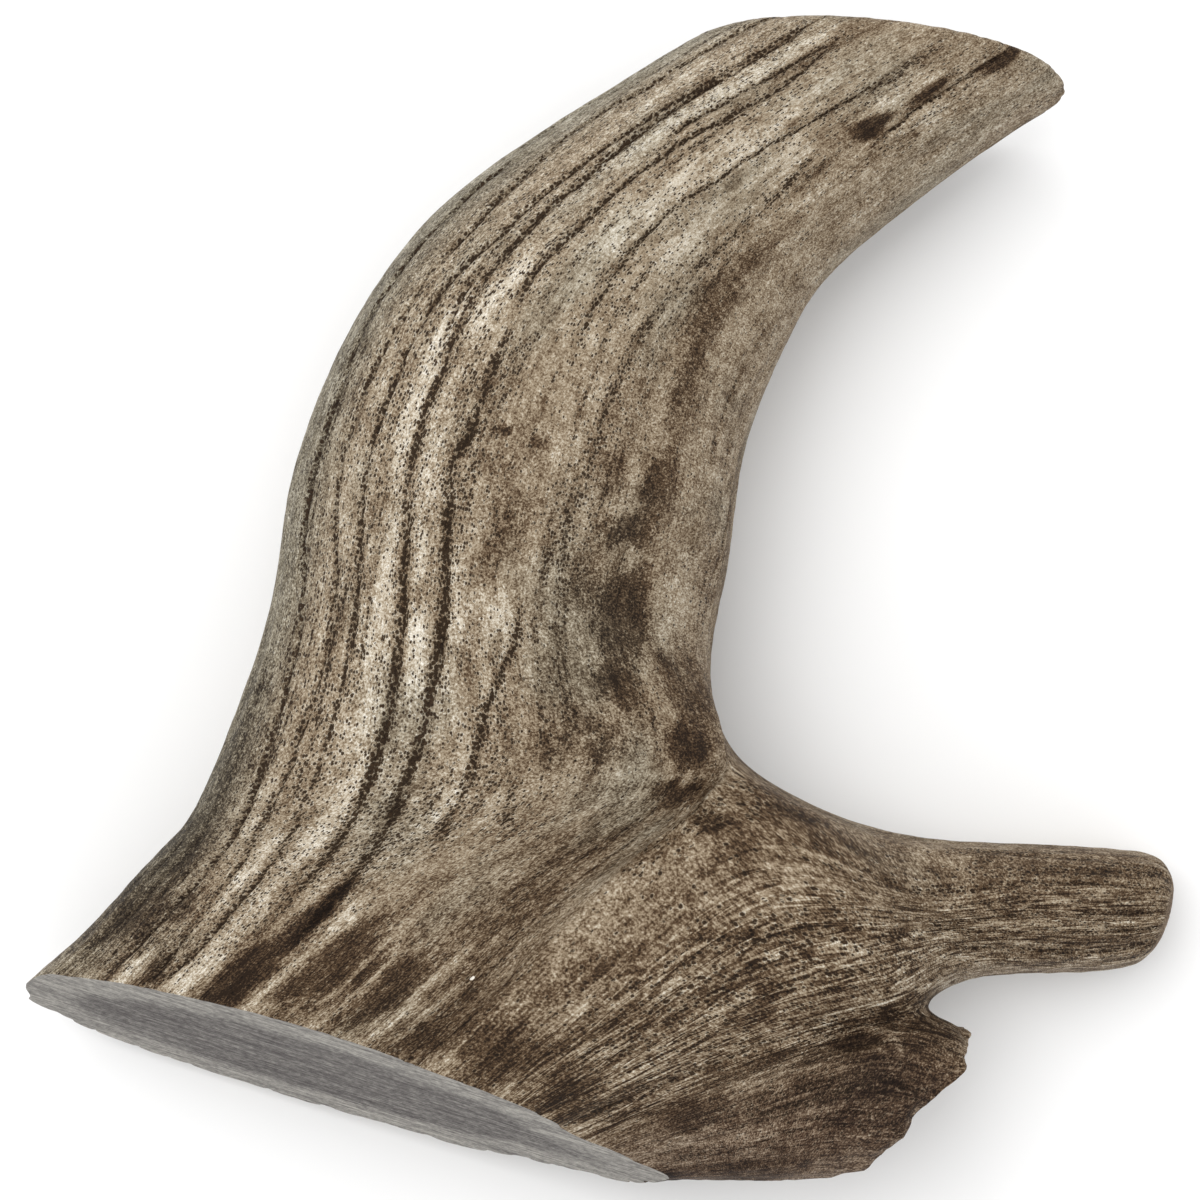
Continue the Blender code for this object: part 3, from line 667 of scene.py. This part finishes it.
def build_skin():
    cage, ends = build_cage()
    straight = straighten(cage)
    fit(cage, ends)
    smooth(cage)
    smooth(straight)
    carve(cage, straight)
    bpy.data.objects.remove(straight)
    sand_ends(cage)
    for limb, point, facing, rounding, bare in SAW_CUTS:
        cut_across(cage, limb, point, facing, bare)
    score_sawn_faces(cage)
    measure_rims(cage)
    wear_stump(cage)
    cage.data.transform(REST)
    places = coordinates(cage.data)
    places[:, 2] = np.maximum(places[:, 2], 0.0)
    move_points(cage.data, places)
    cage.data.shade_smooth()
    cage.name = "antler"
    cage.data.name = "antler"
    return cage


# Noises of the bark, in the grain: the size of their spots, their detail and their roughness.
BLOTCHES = ((2.6, 4.0, 2.6), 5.0, 0.65)
STREAKS = ((0.50, 8.0, 0.50), 3.0, 0.6)
THREADS = ((0.24, 3.5, 0.24), 2.0, 0.6)
GRIT = ((0.26, 0.28, 0.26), 3.0, 0.7)
CRUMBS = ((0.80, 1.00, 0.80), 2.0, 0.6)
# The noise that places the painted highlight and shade lines of the ridges.
PAINTED_RIDGE_NOISE = ((1.10, 18.0, 1.10), 1.0, 0.5)
GREYNESS = ((12.0, 20.0, 12.0), 2.0, 0.5)
PORES_APART = (0.38, 0.50, 0.38)
# The painted glints, tiny white specks of highlight, lie this far apart.
PAINTED_GLINTS_APART = (9.0, 9.0, 9.0)

# The values of the ridge noise that have a line, and how much lighter or darker it is: each light line, a
# painted highlight, has a dark line of painted shade beside it, as if a ridge were lit from one side.
PAINTED_RIDGE_LINES = ((0.500, 0.19), (0.545, -0.20), (0.420, 0.14), (0.385, -0.15))
PAINTED_RIDGE_WIDTH = 0.028

# Colours in steps of 255, set against the photo, from the darkest places to the lightest.
BARK_COLOURS = ((0.00, (38, 27, 17)), (0.25, (84, 66, 48)), (0.50, (146, 130, 108)),
                (0.72, (188, 177, 158)), (1.00, (230, 224, 212)))
GREYED_COLOURS = ((0.00, (36, 31, 25)), (0.25, (76, 69, 56)), (0.50, (138, 131, 114)),
                  (0.72, (182, 177, 162)), (1.00, (228, 224, 214)))
STAINED_COLOURS = ((0.00, (30, 19, 14)), (0.25, (74, 56, 43)), (0.50, (134, 115, 97)),
                   (0.72, (182, 167, 149)), (1.00, (226, 217, 205)))
PIT_COLOURS = ((0.1, (27, 18, 10)), (0.9, (64, 49, 33)))
# The colour of the painted glints.
PAINTED_GLINT_COLOUR = (228, 222, 210)
GREY_BONE = ((66, 62, 61), (98, 94, 92), (134, 131, 126), (172, 168, 160))
BROWN_BONE = ((44, 34, 26), (74, 60, 48), (108, 92, 76), (150, 134, 114))

# Noises of the sawn faces, in metres, as the bark's are given, and how far the saw's lines are turned.
SAW_LINES = ((0.0060, 0.00025, 0.00025), 3.0, 0.65)
SAW_BANDS = ((0.0300, 0.00160, 0.00160), 2.0, 0.5)
BONE_CELLS = ((0.0009, 0.0009, 0.0009), 3.0, 0.7)
SAW_TURN = math.atan2(0.287, 0.895)
BARK_BUMP, SAWN_BUMP = 0.0002, 0.00015

# The studio, in metres.
FLOOR_SIZE = 8
FLOOR_GREY = 0.86
CAMERA_PLACE = (0.0009, 0.0005, 0.49867)
CAMERA_LENS, CAMERA_SENSOR = 110, 36
WINDOW_PLACE = (-0.35, 0.45, 1.1)
WINDOW_SIZE, WINDOW_POWER = 1.0, 9.0


def linear(red, green, blue):
    """A colour in steps of 255, as the shader wants it."""
    return tuple((channel / 255) ** 2.2 for channel in (red, green, blue)) + (1.0,)


class Finish:
    """A material's nodes, wired one after another."""

    def __init__(self, name):
        self.material = bpy.data.materials.new(name)
        self.material.use_nodes = True
        self.nodes = self.material.node_tree.nodes
        self.links = self.material.node_tree.links
        self.shader = self.nodes["Principled BSDF"]

    def feed(self, socket, value):
        if isinstance(value, bpy.types.NodeSocket):
            self.links.new(value, socket)
        else:
            socket.default_value = value

    def attribute(self, name, output="Fac"):
        node = self.nodes.new("ShaderNodeAttribute")
        node.attribute_name = name
        return node.outputs[output]

    def maths(self, operation, first, second=0.0, third=0.0):
        node = self.nodes.new("ShaderNodeMath")
        node.operation = operation
        for socket, value in zip(node.inputs, (first, second, third)):
            self.feed(socket, value)
        return node.outputs[0]

    def vary(self, value, spots, weight):
        """A value that goes up and down with a noise, by this weight."""
        return self.maths("MULTIPLY_ADD", self.maths("SUBTRACT", spots, 0.5), weight, value)

    def ease(self, value, low, high):
        node = self.nodes.new("ShaderNodeMapRange")
        node.interpolation_type = "SMOOTHSTEP"
        self.feed(node.inputs["Value"], value)
        node.inputs["From Min"].default_value = low
        node.inputs["From Max"].default_value = high
        return node.outputs["Result"]

    def stretched(self, places, size):
        """The places in steps of this size along each axis."""
        node = self.nodes.new("ShaderNodeMapping")
        node.inputs["Scale"].default_value = tuple(1 / length for length in size)
        self.links.new(places, node.inputs["Vector"])
        return node.outputs["Vector"]

    def speckle(self, places, size, detail, rough):
        """Noise whose spots have this size along each axis."""
        node = self.nodes.new("ShaderNodeTexNoise")
        node.inputs["Scale"].default_value = 1.0
        node.inputs["Detail"].default_value = detail
        node.inputs["Roughness"].default_value = rough
        self.links.new(self.stretched(places, size), node.inputs["Vector"])
        return node.outputs["Fac"]

    def dots(self, places, size):
        """Dots this far apart along each axis: how far off the nearest is, and its number from 0 to 1."""
        node = self.nodes.new("ShaderNodeTexVoronoi")
        node.inputs["Scale"].default_value = 1.0
        self.links.new(self.stretched(places, size), node.inputs["Vector"])
        number = self.nodes.new("ShaderNodeSeparateColor")
        self.links.new(node.outputs["Color"], number.inputs["Color"])
        return node.outputs["Distance"], number.outputs["Red"]

    def across(self, places):
        node = self.nodes.new("ShaderNodeSeparateXYZ")
        self.links.new(places, node.inputs["Vector"])
        return node.outputs["X"]

    def turned(self, places, angle):
        """The places turned about the upright, so that a pattern can run askew."""
        turn = self.nodes.new("ShaderNodeMapping")
        turn.inputs["Rotation"].default_value = (0.0, 0.0, angle)
        self.links.new(places, turn.inputs["Vector"])
        return turn.outputs["Vector"]

    def ramp(self, value, stops):
        node = self.nodes.new("ShaderNodeValToRGB")
        self.feed(node.inputs["Fac"], value)
        while len(node.color_ramp.elements) < len(stops):
            node.color_ramp.elements.new(1.0)
        for element, (position, colour) in zip(node.color_ramp.elements, stops):
            element.position = position
            element.color = linear(*colour)
        return node.outputs["Color"]

    def mix(self, share, first, second):
        node = self.nodes.new("ShaderNodeMix")
        node.data_type = "RGBA"
        self.feed(node.inputs[0], share)
        self.feed(node.inputs[6], first)
        self.feed(node.inputs[7], second)
        return node.outputs[2]

    def raise_by(self, height, distance):
        node = self.nodes.new("ShaderNodeBump")
        node.inputs["Strength"].default_value = 1.0
        node.inputs["Distance"].default_value = distance
        self.links.new(height, node.inputs["Height"])
        self.links.new(node.outputs["Normal"], self.shader.inputs["Normal"])


def patch_light(finish, tone, crumbs, grit, on_beam):
    """How light the patches make the bark. On the beam their edges are crisp and ragged."""
    ragged = finish.vary(finish.vary(tone, crumbs, 1.30), grit, 0.80)
    edges = finish.maths("MULTIPLY_ADD", tone, -0.06, -0.09)
    edges = finish.maths("MULTIPLY_ADD", finish.ease(ragged, 0.25, 0.50), 0.07, edges)
    edges = finish.maths("MULTIPLY_ADD", finish.ease(ragged, -0.80, -0.45), 0.09, edges)
    return finish.maths("MULTIPLY_ADD", edges, on_beam, finish.maths("MULTIPLY_ADD", tone, 0.30, 0.455))


def paint_ridge_light_and_shade(finish, light, ridge_light_noise, streaky):
    """Thin light and dark lines, where the ridge noise has one value: painted highlights and painted shade
    of ridges lit from one side.
    """
    for place, weight in PAINTED_RIDGE_LINES:
        off = finish.maths("ABSOLUTE", finish.maths("SUBTRACT", ridge_light_noise, place))
        line = finish.maths("SUBTRACT", 1.0, finish.ease(off, 0.0, PAINTED_RIDGE_WIDTH))
        light = finish.maths("MULTIPLY_ADD", finish.maths("MULTIPLY", line, streaky), weight, light)
    return light


def bark_pores(finish, grain, furrow, halo, streaks, grit):
    """The pores, which crowd in and near the furrows: their pale rims and their dark insides."""
    away, number = finish.dots(grain, PORES_APART)
    crowd = finish.vary(0.08, streaks, -1.5)
    crowd = finish.maths("MULTIPLY_ADD", halo, 0.46, crowd)
    crowd = finish.maths("MULTIPLY_ADD", furrow, 0.85, crowd)
    pore = finish.ease(finish.maths("SUBTRACT", crowd, number), 0.0, 0.10)
    wide = finish.vary(finish.maths("MULTIPLY_ADD", furrow, 0.30, 0.40), grit, 1.1)
    inside = finish.maths("SUBTRACT", wide, away)
    rims = finish.maths("MULTIPLY", pore, finish.ease(inside, -0.30, -0.05))
    pits = finish.maths("MULTIPLY", pore, finish.ease(inside, -0.06, 0.10))
    return rims, pits


def bark_colour(finish, grain, light, greyness, streaky, pits):
    """Brown bark, which is greyer on the left flank as painted shade, redder on the stump, dark in its pores
    and flecked with painted white glints.
    """
    across = finish.across(grain)
    # Greyer and a little darker towards the left edge: painted shade where the flank turns away from the
    # light. The greyness noise adds real grey patches.
    flank_shade = finish.maths("MULTIPLY", finish.maths("SUBTRACT", 1.0, finish.ease(across, 1.0, 10.0)), 0.9)
    grey = finish.maths("MAXIMUM", flank_shade, finish.maths("MULTIPLY", finish.ease(greyness, 0.45, 0.70), 0.5))
    grey = finish.maths("MULTIPLY", grey, finish.maths("SUBTRACT", 1.0, streaky))
    colour = finish.mix(grey, finish.ramp(light, BARK_COLOURS), finish.ramp(light, GREYED_COLOURS))
    stain = finish.maths("MULTIPLY", finish.ease(across, 70.0, 92.0), 0.75)
    colour = finish.mix(stain, colour, finish.ramp(light, STAINED_COLOURS))
    colour = finish.mix(pits, colour, finish.ramp(light, PIT_COLOURS))
    # Painted glints: a few tiny white specks of highlight scattered over the bark.
    away, number = finish.dots(grain, PAINTED_GLINTS_APART)
    painted_glints = finish.maths("MULTIPLY", finish.maths("GREATER_THAN", number, 0.7),
                          finish.maths("LESS_THAN", away, 0.03))
    return finish.mix(painted_glints, colour, linear(*PAINTED_GLINT_COLOUR))


def bark():
    finish = Finish("antler_bark")
    finish.shader.inputs["Specular IOR Level"].default_value = 0.15
    grain = finish.attribute("grain", "Vector")
    furrow, halo, tone, streaky, worn = [
        finish.attribute(name) for name in ("furrow", "halo", "tone", "streaky", "worn")]
    blotches, streaks, threads, grit, crumbs, ridge_light_noise, greyness = [
        finish.speckle(grain, *kind) for kind in (BLOTCHES, STREAKS, THREADS, GRIT, CRUMBS, PAINTED_RIDGE_NOISE, GREYNESS)]
    on_beam = finish.maths("SUBTRACT", 1.0, finish.ease(finish.across(grain), 46.0, 58.0))
    light = patch_light(finish, tone, crumbs, grit, on_beam)
    crisp = finish.maths("MULTIPLY_ADD", worn, -0.55, 1.42)
    for spots, weight in ((blotches, 0.60), (crumbs, 0.42), (grit, crisp)):
        light = finish.vary(light, spots, weight)
    for spots, weight, least in ((streaks, 0.80, 0.30), (threads, 0.85, 0.25)):
        share = finish.maths("MULTIPLY_ADD", streaky, weight * (1 - least), weight * least)
        light = finish.vary(light, spots, share)
    # Painted highlights and painted shade, in thin line pairs along the ridges.
    light = paint_ridge_light_and_shade(finish, light, ridge_light_noise, streaky)
    rims, pits = bark_pores(finish, grain, furrow, halo, streaks, grit)
    light = finish.maths("MULTIPLY_ADD", rims, 0.16, finish.maths("MULTIPLY_ADD", furrow, -0.22, light))
    colour = bark_colour(finish, grain, light, greyness, streaky, pits)
    finish.feed(finish.shader.inputs["Base Color"], colour)
    finish.feed(finish.shader.inputs["Roughness"], finish.maths("MULTIPLY_ADD", light, -0.15, 0.70))
    height = finish.maths("ADD", finish.maths("MULTIPLY", grit, 0.9), finish.maths("MULTIPLY", threads, 0.5))
    finish.raise_by(finish.maths("SUBTRACT", height, pits), BARK_BUMP)
    return finish.material


def sawn_face(name, colours):
    """A rim of dense pale bone round a darker core, with the fine lines that the saw left."""
    finish = Finish(name)
    places = finish.nodes.new("ShaderNodeTexCoord").outputs["Object"]
    along_saw = finish.turned(places, SAW_TURN)
    lines = finish.speckle(along_saw, *SAW_LINES)
    bands = finish.speckle(along_saw, *SAW_BANDS)
    cells = finish.speckle(places, *BONE_CELLS)
    core = finish.ease(finish.maths("MULTIPLY_ADD", bands, 5.0, finish.attribute("from_rim")), 7.5, 11.0)
    light = finish.maths("MULTIPLY_ADD", core, -0.32, 0.66)
    for spots, weight in ((lines, 1.50), (bands, 0.50), (cells, 1.10)):
        light = finish.vary(light, spots, weight)
    colour = finish.ramp(light, tuple(zip((0.0, 0.35, 0.65, 1.0), colours)))
    finish.feed(finish.shader.inputs["Base Color"], colour)
    finish.shader.inputs["Roughness"].default_value = 0.8
    finish.shader.inputs["Specular IOR Level"].default_value = 0.2
    finish.raise_by(finish.maths("ADD", lines, cells), SAWN_BUMP)
    return finish.material


def add_floor():
    bpy.ops.object.select_all(action="DESELECT")
    bpy.ops.mesh.primitive_plane_add(size=FLOOR_SIZE, location=(0, 0, 0))
    floor = bpy.context.object
    floor.name = "floor"
    finish = Finish("pale_floor")
    finish.shader.inputs["Base Color"].default_value = (FLOOR_GREY, FLOOR_GREY, FLOOR_GREY, 1.0)
    finish.shader.inputs["Roughness"].default_value = 0.9
    floor.data.materials.append(finish.material)


def add_camera():
    bpy.ops.object.camera_add(location=CAMERA_PLACE, rotation=(0, 0, 0))
    camera = bpy.context.object
    camera.data.lens = CAMERA_LENS
    camera.data.sensor_width = CAMERA_SENSOR
    bpy.context.scene.camera = camera


def add_light(name, place, size, power):
    bpy.ops.object.light_add(type="AREA", location=place)
    lamp = bpy.context.object
    lamp.name = name
    lamp.data.size = size
    lamp.data.energy = power
    lamp.rotation_euler = (-Vector(place)).to_track_quat("-Z", "Y").to_euler()


def light_scene():
    world = bpy.data.worlds.new("studio")
    world.use_nodes = True
    world.node_tree.nodes["Background"].inputs["Color"].default_value = (1.0, 1.0, 1.0, 1.0)
    world.node_tree.nodes["Background"].inputs["Strength"].default_value = 1.0
    bpy.context.scene.world = world
    add_light("window_light", WINDOW_PLACE, WINDOW_SIZE, WINDOW_POWER)
    bpy.context.scene.view_settings.view_transform = "Standard"


antler = build_skin()
grey_face = sawn_face("sawn_face", GREY_BONE)
brown_face = sawn_face("broken_face", BROWN_BONE)
for material in [bark()] * SAWN + [grey_face, brown_face, brown_face, grey_face]:
    antler.data.materials.append(material)
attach(antler, "root")
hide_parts("main_beam", "brow_tine", "tine_stump")
add_floor()
add_camera()
light_scene()
